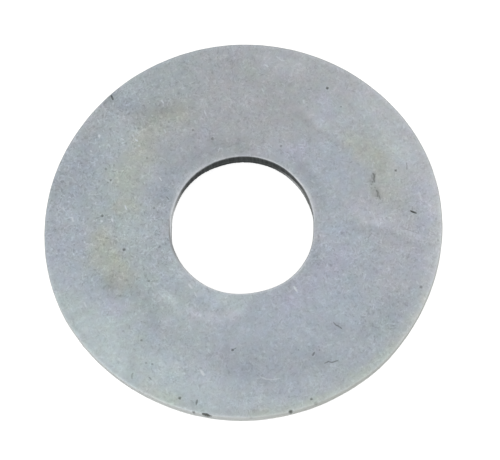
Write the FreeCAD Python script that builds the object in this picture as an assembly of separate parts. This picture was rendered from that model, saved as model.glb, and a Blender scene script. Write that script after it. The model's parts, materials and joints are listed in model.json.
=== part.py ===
# Flat washer of the wide "penny" kind, for a 10 mm bolt: one flat ring stamped out of zinc-plated steel strip.
# All lengths are in millimetres. +Z is up, along the bore. The origin is on the bore's axis, in the plane of the bottom face.
#
# Bore and outline are cut in one press stroke, from the same side, so the top face has a rounded shoulder at both edges,
# where the strip was drawn down before it parted. Under each shoulder comes a straight sheared land at the nominal size.
# Below the land the metal broke away, which leaves a slightly tapered band. The bottom corners are nearly sharp, with only
# the small break that tumbling left on them.

import FreeCAD, Part
import os

# ---- driving dimensions ----
OUTER_D = 30.0          # across the outline, on the sheared land
BORE_D = 11.0           # across the bore, on the sheared land
THICK = 1.5             # between the two faces

# rounded shoulder at the outline, on the top face
OUT_ROLL_R = 0.50       # how far it reaches in from the edge
OUT_ROLL_H = 0.30       # how far it drops below the face
# rounded shoulder at the bore, on the top face
IN_ROLL_R = 0.20
IN_ROLL_H = 0.16
# broken band under the sheared land
OUT_BREAK_H = 0.75      # its height above the bottom face
OUT_BREAK_IN = 0.12     # how much smaller the radius is at the bottom: the gap between punch and die
IN_BREAK_H = 0.62
IN_BREAK_OUT = 0.12     # how much larger the bore's radius is at the bottom
# tumbled corners on the bottom face
CORNER = 0.05

RO = OUTER_D / 2.0
RI = BORE_D / 2.0


def v(r, z):
    """A point of the section, r from the axis and z above the bottom face."""
    return FreeCAD.Vector(r, 0.0, z)


def line(a, b):
    return Part.makeLine(a, b)


def quarter(centre_r, centre_z, ar, az, outward):
    """A quarter of an ellipse from the top of the shoulder to the vertical land; ar is its reach, az is its drop."""
    s = 1.0 if outward else -1.0
    k = 0.70710678118654752
    # sampled as a smooth curve through five points of the quarter, tangent to the face and to the land
    pts = []
    for c, sn in ((0.0, 1.0), (0.38268343, 0.92387953), (k, k), (0.92387953, 0.38268343), (1.0, 0.0)):
        pts.append(v(centre_r + s * ar * c, centre_z + az * sn))
    curve = Part.BSplineCurve()
    curve.interpolate(Points=pts, InitialTangent=FreeCAD.Vector(s, 0, 0), FinalTangent=FreeCAD.Vector(0, 0, -1))
    return curve.toShape()


# ---- the section, clockwise from the inner end of the top face ----
top_in = v(RI + IN_ROLL_R, THICK)
top_out = v(RO - OUT_ROLL_R, THICK)
land_out_top = v(RO, THICK - OUT_ROLL_H)
land_out_low = v(RO, OUT_BREAK_H)
break_out_low = v(RO - OUT_BREAK_IN, CORNER)
bottom_out = v(RO - OUT_BREAK_IN - CORNER, 0.0)
bottom_in = v(RI + IN_BREAK_OUT + CORNER, 0.0)
break_in_low = v(RI + IN_BREAK_OUT, CORNER)
land_in_low = v(RI, IN_BREAK_H)
land_in_top = v(RI, THICK - IN_ROLL_H)

edges = [
    line(top_in, top_out),
    quarter(RO - OUT_ROLL_R, THICK - OUT_ROLL_H, OUT_ROLL_R, OUT_ROLL_H, True),
    line(land_out_top, land_out_low),
    line(land_out_low, break_out_low),
    line(break_out_low, bottom_out),
    line(bottom_out, bottom_in),
    line(bottom_in, break_in_low),
    line(break_in_low, land_in_low),
    line(land_in_low, land_in_top),
    quarter(RI + IN_ROLL_R, THICK - IN_ROLL_H, IN_ROLL_R, IN_ROLL_H, False),
]

section = Part.Face(Part.Wire(Part.__sortEdges__(edges)))
washer = section.revolve(FreeCAD.Vector(0, 0, 0), FreeCAD.Vector(0, 0, 1), 360)
if washer.ShapeType != "Solid":
    washer = Part.makeSolid(washer) if washer.ShapeType == "Shell" else washer.Solids[0]
if washer.Volume < 0:
    washer.reverse()

assert washer.isValid(), "the ring is not a valid solid"
box = washer.BoundBox
print("box", round(box.XLength, 3), round(box.YLength, 3), round(box.ZLength, 3), "z", round(box.ZMin, 4), round(box.ZMax, 4))
print("volume mm3", round(washer.Volume, 2))

os.makedirs("parts", exist_ok=True)
washer.exportStep("parts/flat_washer.step")
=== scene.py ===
# Flat washer, zinc plated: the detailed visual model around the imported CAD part, its finish, a pale stage and soft light.
# Lengths inside the mesh code are in millimetres; they are turned into metres when the mesh is made.

import json
import math

import bpy
import numpy as np
from mathutils import Matrix, Vector


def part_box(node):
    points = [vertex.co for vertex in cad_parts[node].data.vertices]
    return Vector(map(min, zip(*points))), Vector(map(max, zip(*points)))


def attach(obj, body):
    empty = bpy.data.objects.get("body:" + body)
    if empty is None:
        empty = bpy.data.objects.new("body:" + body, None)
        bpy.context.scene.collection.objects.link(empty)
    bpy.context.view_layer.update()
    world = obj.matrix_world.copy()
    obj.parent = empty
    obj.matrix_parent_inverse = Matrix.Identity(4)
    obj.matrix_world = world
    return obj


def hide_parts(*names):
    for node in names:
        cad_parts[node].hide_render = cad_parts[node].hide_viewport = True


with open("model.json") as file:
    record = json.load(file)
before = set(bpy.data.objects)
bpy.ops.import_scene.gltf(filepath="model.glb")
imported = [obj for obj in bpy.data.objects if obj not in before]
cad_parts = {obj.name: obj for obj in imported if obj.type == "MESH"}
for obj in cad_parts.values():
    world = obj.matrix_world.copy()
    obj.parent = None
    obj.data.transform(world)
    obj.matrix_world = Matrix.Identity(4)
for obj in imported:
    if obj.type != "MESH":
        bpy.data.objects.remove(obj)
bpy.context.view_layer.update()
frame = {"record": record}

MM = 0.001

# ------------------------------------------------------------------ sizes, read from the frame
low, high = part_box("flat_washer")
RO = (high.x - low.x) / 2 / MM
T = (high.z - low.z) / MM
RI = next(m for m in frame["record"]["mounts"] if m["name"] == "bore")["dims"]["r_mm"]

SKIN = 0.006          # the mesh keeps this far inside the nominal faces, so that raised lips stay within them
OUT_ROLL_R, OUT_ROLL_H = 0.50, 0.30
IN_ROLL_R, IN_ROLL_H = 0.20, 0.16
OUT_BREAK_H, OUT_BREAK_IN = 0.75, 0.12
IN_BREAK_H, IN_BREAK_OUT = 0.62, 0.12
CORNER = 0.05

# ------------------------------------------------------------------ the camera, from a fit to the photograph's two ellipses
TILT = math.radians(20.27)     # between the washer's axis and the line of sight
ROLL = math.radians(6.14)
REACH = 11.27 * 15.0           # from the middle of the top face to the camera
SHIFT_X, SHIFT_Y = -0.560, -0.400
FOCAL_PX = 200.25 * 11.27
LENS = FOCAL_PX * 36.0 / 500.0

n_view = np.array([0.0, -math.sin(TILT), math.cos(TILT)])
right0 = np.array([1.0, 0.0, 0.0])
up0 = np.array([0.0, math.cos(TILT), math.sin(TILT)])
right_img = math.cos(ROLL) * right0 - math.sin(ROLL) * up0
up_img = math.sin(ROLL) * right0 + math.cos(ROLL) * up0
eye = np.array([0.0, 0.0, T]) + REACH * n_view - SHIFT_X * right_img + SHIFT_Y * up_img


def on_top(px, py):
    """The point of the top face that the camera sees at this pixel of the 500 x 460 frame."""
    d = (px - 250.0) / FOCAL_PX * right_img - (py - 230.0) / FOCAL_PX * up_img - n_view
    k = (T - eye[2]) / d[2]
    p = eye + k * d
    return np.array([p[0], p[1]])


# ------------------------------------------------------------------ smooth noise
class Noise:
    def __init__(self, seed):
        rs = np.random.RandomState(seed)
        self.perm = np.concatenate([rs.permutation(256)] * 3)
        g = rs.normal(size=(256, 3))
        self.grad = g / np.linalg.norm(g, axis=1)[:, None]

    def __call__(self, p, scale=1.0):
        p = np.asarray(p, float) * scale
        i = np.floor(p).astype(int)
        f = p - i
        i &= 255
        w = f * f * f * (f * (f * 6 - 15) + 10)
        out = np.zeros(len(p))
        for dx in (0, 1):
            wx = w[:, 0] if dx else 1 - w[:, 0]
            for dy in (0, 1):
                wy = w[:, 1] if dy else 1 - w[:, 1]
                for dz in (0, 1):
                    wz = w[:, 2] if dz else 1 - w[:, 2]
                    h = self.perm[self.perm[self.perm[(i[:, 0] + dx) & 255] + ((i[:, 1] + dy) & 255)] + ((i[:, 2] + dz) & 255)]
                    g = self.grad[h]
                    out += wx * wy * wz * (g[:, 0] * (f[:, 0] - dx) + g[:, 1] * (f[:, 1] - dy) + g[:, 2] * (f[:, 2] - dz))
        return out * 1.6


def smooth(a, b, x):
    t = np.clip((x - a) / (b - a), 0.0, 1.0)
    return t * t * (3 - 2 * t)


def ring_noise(noise, th, k, off=0.0):
    """Noise that closes on itself around the ring; k is how many bumps go round, roughly."""
    r = k / (2 * math.pi)
    return noise(np.stack([np.cos(th) * r + off, np.sin(th) * r + 31.7, np.full_like(th, off * 1.7 + 5.3)], 1))


# ------------------------------------------------------------------ marks on the metal, listed one by one
MARKS = []    # kind, place in mm, half width in mm, depth in mm, how dark, how bright


def pit(px, py, r=0.11, depth=0.035, dirt=0.8, bright_wear_and_glint=0.0):
    MARKS.append(("pit", on_top(px, py), r, depth, dirt, bright_wear_and_glint))


def cut(points, w=0.07, depth=0.03, dirt=0.8, bright_wear_and_glint=0.0):
    MARKS.append(("cut", np.array([on_top(*p) for p in points]), w, depth, dirt, bright_wear_and_glint))


# dark specks
for px, py, r, k in (
    (327.3, 88.0, 0.13, 0.95), (341.0, 106.6, 0.08, 0.6), (395.8, 170.4, 0.11, 0.8), (212.4, 138.7, 0.13, 0.55),
    (192.8, 130.0, 0.10, 0.5), (110.7, 180.0, 0.11, 0.75), (105.8, 169.0, 0.11, 0.6), (102.3, 215.8, 0.14, 0.78),
    (154.0, 208.0, 0.10, 0.5), (147.0, 158.0, 0.12, 0.4), (124.0, 249.5, 0.14, 0.85), (148.6, 281.0, 0.11, 0.6),
    (141.5, 340.4, 0.11, 0.65), (319.4, 350.0, 0.07, 0.5), (298.6, 349.6, 0.07, 0.4), (311.4, 399.0, 0.11, 0.8),
    (281.0, 146.0, 0.11, 0.5), (421.0, 287.0, 0.13, 0.65), (179.7, 398.0, 0.13, 0.85), (123.0, 331.0, 0.09, 0.4),
    (108.0, 182.5, 0.09, 0.55), (152.0, 364.0, 0.10, 0.55), (146.0, 363.0, 0.09, 0.5), (257.5, 406.0, 0.08, 0.35),
    (347.4, 390.0, 0.12, 0.6), (368.6, 375.5, 0.12, 0.6), (54.0, 181.5, 0.12, 0.45), (51.7, 189.3, 0.10, 0.4),
):
    pit(px, py, r * 1.05, 0.03 + 0.02 * k, 0.66 * k)
for px, py, r, k in ((371.4, 184.4, 0.07, 0.22), (374.9, 187.4, 0.085, 0.28), (376.1, 198.8, 0.075, 0.22), (382.2, 200.4, 0.07, 0.18), (375.4, 174.2, 0.08, 0.30), (372.8, 181.8, 0.09, 0.34)):
    pit(px, py, r, 0.02, k)
cut([(373.0, 173.4), (374.5, 175.8), (373.9, 179.2), (374.5, 181.8)], 0.10, 0.02, 0.46)
cut([(371.8, 175.2), (372.3, 178.6)], 0.06, 0.015, 0.28)
cut([(376.3, 190.2), (378.1, 192.6), (377.5, 196.4)], 0.09, 0.02, 0.38)
cut([(379.2, 195.8), (380.3, 199.4)], 0.08, 0.02, 0.28)

# dark cuts
cut([(111.0, 95.0), (113.0, 99.5)], 0.10, 0.05, 0.62)
cut([(410.8, 210.8), (413.4, 212.0), (416.2, 213.0)], 0.10, 0.05, 0.78)
cut([(402.5, 228.8), (408.0, 229.6), (413.0, 231.6), (419.5, 233.3)], 0.045, 0.012, 0.25)
cut([(333.5, 322.2), (336.2, 325.2), (338.4, 326.0), (341.8, 328.6)], 0.062, 0.022, 0.52)
cut([(324.5, 363.3), (328.5, 361.4), (331.5, 362.4), (334.5, 361.6), (338.0, 360.4)], 0.062, 0.022, 0.52)
cut([(406.4, 162.5), (407.0, 165.5), (406.8, 169.5)], 0.055, 0.018, 0.36)
cut([(133.0, 373.0), (131.8, 375.5), (132.0, 378.5)], 0.075, 0.02, 0.34)
cut([(149.0, 377.0), (151.2, 379.5)], 0.065, 0.02, 0.45)
cut([(197.2, 400.0), (196.6, 402.5), (196.2, 404.0)], 0.095, 0.03, 0.5)
pit(232.6, 349.9, 0.125, 0.03, 0.62)
cut([(233.6, 349.4), (236.2, 347.9)], 0.055, 0.02, 0.40)
cut([(312.8, 355.4), (313.8, 353.6), (314.2, 352.2)], 0.085, 0.03, 0.5)
cut([(146.0, 281.8), (148.0, 279.0)], 0.05, 0.015, 0.25)
cut([(95.2, 218.8), (98.0, 217.6), (100.8, 216.6)], 0.05, 0.015, 0.36)
cut([(311.8, 355.0), (313.4, 353.0)], 0.055, 0.015, 0.28)
cut([(166.4, 196.8), (169.0, 199.4)], 0.06, 0.025, 0.4)

# bright flecks and short bright cuts: lighter scratched metal, with painted glint
for pts, w, s in (
    ([(99.0, 135.0), (99.4, 137.0)], 0.09, 1.0),
    ([(121.0, 138.5), (123.5, 139.5)], 0.06, 0.7),
    ([(132.6, 134.8), (133.6, 136.4)], 0.05, 0.55),
    ([(135.4, 139.4), (137.6, 141.0)], 0.06, 0.75),
    ([(138.4, 145.4), (140.0, 146.2)], 0.05, 0.5),
    ([(125.0, 205.5), (126.5, 209.5)], 0.055, 0.8),
    ([(101.0, 221.0), (102.2, 221.2)], 0.08, 0.9),
    ([(111.8, 218.5), (112.8, 221.5)], 0.06, 0.8),
    ([(72.0, 217.0), (73.0, 221.5)], 0.06, 0.65),
    ([(63.0, 207.0), (64.0, 210.0)], 0.05, 0.5),
    ([(90.5, 150.5), (91.5, 151.5)], 0.06, 0.5),
    ([(159.5, 177.5), (161.5, 180.5)], 0.05, 0.65),
    ([(161.5, 100.5), (163.5, 103.0)], 0.06, 0.6),
    ([(164.0, 129.0), (166.0, 133.0)], 0.05, 0.4),
    ([(188.8, 284.5), (192.0, 288.0)], 0.07, 1.0),
    ([(194.5, 292.0), (197.0, 297.0)], 0.04, 0.5),
    ([(201.0, 370.6), (203.6, 374.8)], 0.10, 1.0),
    ([(294.0, 286.6), (296.8, 291.0)], 0.07, 1.0),
    ([(419.6, 192.5), (420.8, 199.5)], 0.05, 0.42),
    ([(276.5, 56.3), (281.5, 60.2), (284.5, 60.8)], 0.05, 0.42),
    ([(265.0, 64.5), (268.0, 66.6)], 0.06, 0.6),
    ([(260.5, 376.8), (266.0, 379.0), (273.0, 379.6), (280.0, 378.2)], 0.05, 0.42),
    ([(416.5, 281.0), (418.5, 284.0)], 0.06, 0.4),
    ([(402.0, 283.0), (403.0, 285.5)], 0.05, 0.4),
    ([(408.0, 224.0), (406.5, 229.0)], 0.035, 0.4),
    ([(84.0, 302.0), (86.5, 307.0)], 0.05, 0.45),
    ([(303.0, 100.0), (304.5, 103.5)], 0.045, 0.45),
    ([(262.0, 88.5), (263.5, 91.5)], 0.045, 0.45),
    ([(204.5, 110.5), (206.0, 115.5)], 0.045, 0.4),
    ([(243.0, 61.0), (244.0, 63.5)], 0.045, 0.4),
):
    cut(pts, w * 1.3, 0.014, 0.0, min(1.0, s * 1.3))

# nicks in the rim
NICKS = [
    (193.5, 412.2, 0.13, 0.04, 0.6), (203.8, 414.6, 0.13, 0.05, 0.75), (206.6, 414.9, 0.17, 0.07, 1.0), (210.0, 416.3, 0.15, 0.07, 1.0),
    (290.9, 411.9, 0.19, 0.07, 0.95), (60.5, 162.0, 0.12, 0.03, 0.3), (438.0, 240.0, 0.10, 0.03, 0.3),
    (436.0, 219.0, 0.10, 0.03, 0.25), (251.0, 418.4, 0.16, 0.03, 0.3), (254.5, 418.6, 0.14, 0.03, 0.25),
    (108.6, 97.0, 0.12, 0.03, 0.25), (316.0, 403.2, 0.16, 0.03, 0.3), (346.2, 390.6, 0.13, 0.03, 0.3),
]
for px, py, r, d, k in NICKS:
    pit(px, py, r * 1.15, d, 0.82 * k)
cut([(202.6, 413.4), (206.4, 414.4), (210.6, 416.0)], 0.13, 0.05, 0.80)

# small chance marks, on both faces
rs = np.random.RandomState(11)
CHANCE = []
for _ in range(70):
    a, r = rs.uniform(0, 2 * math.pi), math.sqrt(rs.uniform((RI + 0.5) ** 2, (RO - 0.5) ** 2))
    CHANCE.append(("top", r * math.cos(a), r * math.sin(a), rs.uniform(0, math.pi), rs.uniform(0.05, 0.28), rs.uniform(0.022, 0.045), rs.uniform(0.005, 0.012), rs.rand()))
for _ in range(60):
    a, r = rs.uniform(0, 2 * math.pi), math.sqrt(rs.uniform((RI + 0.5) ** 2, (RO - 0.5) ** 2))
    CHANCE.append(("under", r * math.cos(a), r * math.sin(a), rs.uniform(0, math.pi), rs.uniform(0.05, 0.9) ** 1.5, rs.uniform(0.03, 0.07), rs.uniform(0.008, 0.03), rs.rand()))

# ------------------------------------------------------------------ the section, as rows of a lattice
N_TH, FINE = 384, 8            # columns around the ring; the finest cell is an eighth of a base cell
SEGMENTS = (("top", 56), ("oroll", 7), ("owall", 10), ("ocorner", 2), ("bottom", 38), ("icorner", 2), ("iwall", 13), ("iroll", 4))
seg_names = [s for s, _ in SEGMENTS]
row_start = np.concatenate([[0], np.cumsum([n for _, n in SEGMENTS])])
ROWS = int(row_start[-1])
row_seg = np.repeat(np.arange(len(SEGMENTS)), [n for _, n in SEGMENTS])

n_edge, n_wall, n_wave, n_torn, n_tint, n_warp = (Noise(s) for s in (3, 5, 7, 9, 13, 17))


def borders(th):
    """Height of the border between the sheared land and the broken band, at the outline and in the bore."""
    o = OUT_BREAK_H + 0.10 * ring_noise(n_edge, th, 22, 21.0) + 0.06 * ring_noise(n_edge, th, 90, 23.0) + 0.04 * ring_noise(n_edge, th, 300, 27.0)
    i = IN_BREAK_H + 0.10 * ring_noise(n_edge, th, 12, 41.0) + 0.05 * ring_noise(n_edge, th, 50, 43.0) + 0.03 * ring_noise(n_edge, th, 140, 47.0)
    return o, i


def seen_at(deg, hole=False):
    """Where on the ring, as its own angle, the outline or the hole is seen at this angle of the image, clockwise from right."""
    a = math.radians(deg)
    p = on_top(242 + 71 * math.cos(a), 228 + 66 * math.sin(a)) if hole else on_top(243.4 + 195 * math.cos(a), 231 + 183 * math.sin(a))
    return math.atan2(p[1], p[0])


def humps(th, *parts):
    """A sum of smooth humps round the ring, each (image angle, half width in degrees, height), placed by the hole."""
    total = np.zeros_like(th)
    for deg, wide, k in parts:
        d = (th - seen_at(deg, True) + math.pi) % (2 * math.pi) - math.pi
        total += k * np.exp(-(d / math.radians(wide)) ** 2)
    return total


def rim_humps(th, *parts):
    """The same, placed by the outline."""
    total = np.zeros_like(th)
    for deg, wide, k in parts:
        d = (th - seen_at(deg) + math.pi) % (2 * math.pi) - math.pi
        total += k * np.exp(-(d / math.radians(wide)) ** 2)
    return total


def hole_sway(th):
    """How far the hole's edge is in from a true circle, and how far its lower edge is out from the upper one."""
    oval = 0.022 + 0.020 * np.cos(th) - 0.020 * np.sin(th) + humps(th, (345, 24, 0.060), (315, 15, 0.020), (200, 20, 0.035), (135, 20, 0.040), (48, 18, -0.050), (0, 12, 0.100), (338, 12, 0.045), (80, 20, 0.075), (162, 13, 0.050), (182, 10, 0.130), (200, 9, 0.045), (212, 18, 0.070), (240, 9, 0.018), (315, 8, 0.015), (350, 8, 0.015), (280, 22, -0.028))
    taper = IN_BREAK_OUT - humps(th, (335, 30, 0.095), (200, 20, 0.075), (250, 14, 0.022), (292, 14, 0.020), (316, 14, 0.045), (212, 18, -0.080), (200, 9, -0.045), (240, 10, -0.042), (280, 22, 0.040), (304, 12, 0.024), (330, 9, 0.034))
    return oval, taper


def rim_sway(th):
    """How far the outline is out from a true circle."""
    even = 0.006 * ring_noise(n_edge, th, 7, 51.0) + 0.012 * ring_noise(n_edge, th, 34, 53.0) + 0.010 * ring_noise(n_edge, th, 110, 57.0)
    return even - 0.062 + rim_humps(th, (333, 16, 0.062), (347, 10, 0.035), (160, 14, 0.062), (152, 10, 0.018), (24, 12, -0.050), (47, 8, 0.040), (114, 12, -0.045), (213, 20, -0.055), (262, 16, 0.022), (0, 8, 0.012))


def section(th, row):
    """Place and outward normal of the undamaged surface. th in radians, row in (fractional) base rows."""
    seg = np.clip(np.searchsorted(row_start, row, side="right") - 1, 0, len(SEGMENTS) - 1)
    n = np.array([m for _, m in SEGMENTS])[seg]
    t = (row - row_start[seg]) / n
    # the shoulders are not equally wide all the way round
    k_out = 1.0 + 0.30 * np.cos(th - math.radians(-8)) + 0.13 * ring_noise(n_edge, th, 9) + 0.05 * ring_noise(n_edge, th, 40, 3.0)
    k_in = 1.0 + humps(th, (228, 24, 0.55), (328, 22, -0.25), (182, 12, 0.05), (45, 30, 0.35), (272, 22, -0.15), (150, 30, 0.15)) + 0.14 * ring_noise(n_edge, th, 9, 11.0)
    a_out, b_out = OUT_ROLL_R * k_out, OUT_ROLL_H * (0.5 + 0.5 * k_out)
    a_in, b_in = IN_ROLL_R * k_in, IN_ROLL_H * (0.5 + 0.5 * k_in)
    oval, taper_in = hole_sway(th)
    top, ro, ri = T - SKIN, RO - SKIN, RI
    r, z = np.zeros_like(row), np.zeros_like(row)
    nr, nz = np.zeros_like(row), np.zeros_like(row)

    m = seg == 0
    r[m] = (ri + a_in + (ro - a_out - ri - a_in) * t)[m]
    z[m], nz[m] = top, 1.0
    m = seg == 1
    a = t * math.pi / 2
    r[m] = (ro - a_out + a_out * np.sin(a))[m]
    z[m] = (top - b_out + b_out * np.cos(a))[m]
    l = np.hypot(np.sin(a) / a_out, np.cos(a) / b_out)
    nr[m], nz[m] = (np.sin(a) / a_out / l)[m], (np.cos(a) / b_out / l)[m]
    # the sheared land and, below a ragged border, the band that broke away at a taper
    edge_o, edge_i = borders(th)
    m = seg == 2
    z[m] = (top - b_out + (CORNER - top + b_out) * t)[m]
    r[m] = (ro - OUT_BREAK_IN * np.clip((edge_o - z) / edge_o, 0, 1) ** 0.85)[m]
    nr[m] = 1.0
    ro_low, ri_low = ro - OUT_BREAK_IN, ri + taper_in
    m = seg == 3
    r[m] = (ro_low - CORNER + CORNER * np.cos(a))[m]
    z[m] = (CORNER - (CORNER - 0.001) * np.sin(a))[m]
    nr[m], nz[m] = np.cos(a)[m], -np.sin(a)[m]
    m = seg == 4
    r[m] = (ro_low - CORNER + (ri_low + CORNER - ro_low + CORNER) * t)[m]
    z[m], nz[m] = 0.001, -1.0
    m = seg == 5
    r[m] = (ri_low + CORNER - CORNER * np.sin(a))[m]
    z[m] = (CORNER - (CORNER - 0.001) * np.cos(a))[m]
    nr[m], nz[m] = -np.sin(a)[m], -np.cos(a)[m]
    m = seg == 6
    z[m] = (CORNER + (top - b_in - CORNER) * t)[m]
    r[m] = (ri + taper_in * np.clip((edge_i - z) / edge_i, 0, 1) ** 0.85)[m]
    nr[m] = -1.0
    m = seg == 7
    r[m] = (ri + a_in - a_in * np.cos(a))[m]
    z[m] = (top - b_in + b_in * np.sin(a))[m]
    l = np.hypot(np.cos(a) / a_in, np.sin(a) / b_in)
    nr[m], nz[m] = (-np.cos(a) / a_in / l)[m], (np.sin(a) / b_in / l)[m]
    # the hole is a little out of round
    r = r - oval * smooth(ri + 1.2, ri + 0.1, r)
    # and so is the outline
    r = r + rim_sway(th) * smooth(ro - 1.6, ro - 0.4, r)
    return r, z, nr, nz, seg


# ------------------------------------------------------------------ how finely each base cell is cut
th_mid, row_mid = np.meshgrid((np.arange(N_TH) + 0.5) * 2 * math.pi / N_TH, np.arange(ROWS) + 0.5, indexing="ij")
r_, z_, _, _, seg_ = section(th_mid.ravel(), row_mid.ravel())
mid = np.stack([r_ * np.cos(th_mid.ravel()), r_ * np.sin(th_mid.ravel()), z_], 1)
seg_mid = seg_.reshape(N_TH, ROWS)
level = np.zeros((N_TH, ROWS), int)
level[seg_mid == 2] = 1
level[seg_mid == 1] = 0


def near_line(p, a, b):
    """How far each 2-D or 3-D point is from the line from a to b, and where along it."""
    ab = b - a
    t = np.clip(((p - a) @ ab) / max(ab @ ab, 1e-12), 0, 1)
    return np.linalg.norm(p - a - t[:, None] * ab, axis=1), t


def raise_level(d, reach, to):
    hit = (d < reach).reshape(N_TH, ROWS)
    level[hit] = np.maximum(level[hit], to)


upper = z_ > 0.45 * T
for m in MARKS:
    if m[0] == "pit":
        d = np.where(upper, np.linalg.norm(mid[:, :2] - m[1], axis=1), 9e9)
        raise_level(d, m[2] * 1.25 + 0.05, 3 if m[4] > 0.5 else 2)
    else:
        d = np.full(len(mid), 9e9)
        for a, b in zip(m[1][:-1], m[1][1:]):
            d = np.minimum(d, near_line(mid[:, :2], a, b)[0])
        raise_level(np.where(upper, d, 9e9), m[2] * 1.2 + 0.05, 3 if m[2] * m[3] > 0.002 or m[2] < 0.045 else 2)
lines = []
for side, x, y, ang, half, w, dep, kind in CHANCE:
    c, s = math.cos(ang) * half, math.sin(ang) * half
    lines.append((side, np.array([x - c, y - s]), np.array([x + c, y + s]), w, dep, kind))
for side, a, b, w, dep, kind in lines:
    ok = upper if side == "top" else ~upper
    raise_level(np.where(ok, near_line(mid[:, :2], a, b)[0], 9e9), w + 0.06, 2)

for _ in range(6):
    up = level
    for ax in (0, 1):
        for step in (-1, 1):
            up = np.maximum(up, np.roll(level, step, ax) - 1)
    level = up

# ------------------------------------------------------------------ lattice to faces
NI, NJ = N_TH * FINE, ROWS * FINE
used = np.zeros((NI, NJ), bool)
leaves = []
for lv in range(4):
    n = 2 ** lv
    h = FINE // n
    ci, cj = np.nonzero(level == lv)
    if not len(ci):
        continue
    oi, oj = np.meshgrid(np.arange(n) * h, np.arange(n) * h, indexing="ij")
    I = (ci[:, None] * FINE + oi.ravel()[None]).ravel()
    J = (cj[:, None] * FINE + oj.ravel()[None]).ravel()
    leaves.append((h, I, J))
    for di in (0, h):
        for dj in (0, h):
            used[(I + di) % NI, (J + dj) % NJ] = True
index = np.full((NI, NJ), -1, int)
vi, vj = np.nonzero(used)
index[vi, vj] = np.arange(len(vi))

sizes, loops, loop_i, loop_j, face_row = [], [], [], [], []
for h, I, J in leaves:
    q = h // 2
    mids = [((1, 0), (q, 0)), ((0, 0), (0, 0))]
    if q:
        hang = np.stack([used[(I + q) % NI, J], used[(I + h) % NI, (J + q) % NJ], used[(I + q) % NI, (J + h) % NJ], used[I, (J + q) % NJ]], 1)
    else:
        hang = np.zeros((len(I), 4), bool)
    code = hang @ np.array([1, 2, 4, 8])
    for c in np.unique(code):
        pick = code == c
        ring = []
        for k, (corner, middle) in enumerate((((0, 0), (q, 0)), ((h, 0), (h, q)), ((h, h), (q, h)), ((0, h), (0, q)))):
            ring.append(corner)
            if c >> k & 1:
                ring.append(middle)
        li = np.stack([I[pick] + d[0] for d in ring], 1)
        lj = np.stack([J[pick] + d[1] for d in ring], 1)
        # columns run one way round and rows run outwards over the top, so this order faces out
        li, lj = li[:, ::-1], lj[:, ::-1]
        sizes.append(np.full(len(li), li.shape[1]))
        loop_i.append(li.ravel())
        loop_j.append(lj.ravel())
        loops.append(index[li % NI, lj % NJ].ravel())
        face_row.append(np.stack([I[pick], J[pick]], 1))
sizes, loops = np.concatenate(sizes), np.concatenate(loops)
loop_i, loop_j = np.concatenate(loop_i), np.concatenate(loop_j)
face_row = np.concatenate(face_row)
print("faces", len(sizes), "triangles", int((sizes - 2).sum()), "vertices", len(vi))

# ------------------------------------------------------------------ vertex places, with every mark pressed in
th = vi * 2 * math.pi / NI
row = vj / FINE
r, z, nr, nz, seg = section(th, row)
ct, st = np.cos(th), np.sin(th)
nrm = np.stack([nr * ct, nr * st, nz], 1)
pos = np.stack([r * ct, r * st, z], 1)

is_owall, is_iwall = seg == 2, seg == 6
wall_out = np.where(np.isin(seg, (1, 2, 3)), nr, 0.0)
wall_in = np.where(np.isin(seg, (5, 6, 7)), -nr, 0.0)

# the broken band under the sheared land, with a ragged upper border and torn metal inside it
push = np.zeros(len(pos))
border_out, border_in = borders(th)
low_out = wall_out * smooth(0.03, -0.05, z - border_out)
low_in = wall_in * smooth(0.03, -0.05, z - border_in)
torn = (low_out + low_in)
arc = np.where(np.isin(seg, (5, 6, 7)), RI, RO) * th
q = np.stack([ct * np.where(nr > 0, RO, RI), st * np.where(nr > 0, RO, RI), z], 1)
push -= low_out * (0.008 + 0.030 * np.abs(n_torn(q * [1, 1, 0.6], 3.2)) + 0.016 * np.abs(n_torn(q, 7.5)))
push -= low_in * (-0.012 + 0.026 * np.abs(n_torn(q * [1, 1, 0.6], 3.6)) + 0.012 * np.abs(n_torn(q, 8.5)))
# drag lines of the punch and die on the land
land = np.clip(wall_out + wall_in, 0, 1) * (1 - np.clip(torn, 0, 1))
push += land * (-0.004 + 0.005 * n_wall(q * [1, 1, 0.08], 5.5) + 0.003 * n_wall(q * [1, 1, 0.05], 2.1))
# gentle unevenness of the strip and dimples from tumbling, on both faces
flat = np.clip(np.abs(nz), 0, 1) ** 2
side_z = np.where(nz > 0, 0.0, 40.0)
w1 = n_wave(np.stack([pos[:, 0], pos[:, 1], side_z], 1), 0.16)
w2 = n_wave(np.stack([pos[:, 0], pos[:, 1], side_z], 1), 0.55)
w3 = n_wave(np.stack([pos[:, 0], pos[:, 1], side_z], 1), 1.5)
push += flat * (-0.004 + 0.004 * w1 + 0.0022 * w2 + 0.0016 * w3)

dirt = np.zeros(len(pos))
bright_wear_and_glint = np.zeros(len(pos))


def press(d, w, depth, dirt_k, bright_wear_and_glint_k, mask, soft=1.0):
    """Presses a groove or bowl of half width w around d = 0, with a low lip of pushed-up metal around it."""
    u = d / w
    bowl = np.where(u < 1, (1 - u * u) ** 2, 0.0) if soft else np.clip(1 - u, 0, 1)
    lip = np.exp(-((u - 1.15) / 0.28) ** 2)
    push[mask] += (-depth * bowl + 0.16 * depth * lip)
    if dirt_k:
        dirt[mask] = np.maximum(dirt[mask], dirt_k * smooth(1.12, 0.45, u))
        # a painted glint just outside each dark mark, on its pushed-up lip
        bright_wear_and_glint[mask] = np.maximum(bright_wear_and_glint[mask], 0.35 * dirt_k * np.exp(-((u - 1.3) / 0.25) ** 2))
    if bright_wear_and_glint_k:
        bright_wear_and_glint[mask] = np.maximum(bright_wear_and_glint[mask], bright_wear_and_glint_k * smooth(1.25, 0.3, u))


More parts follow.
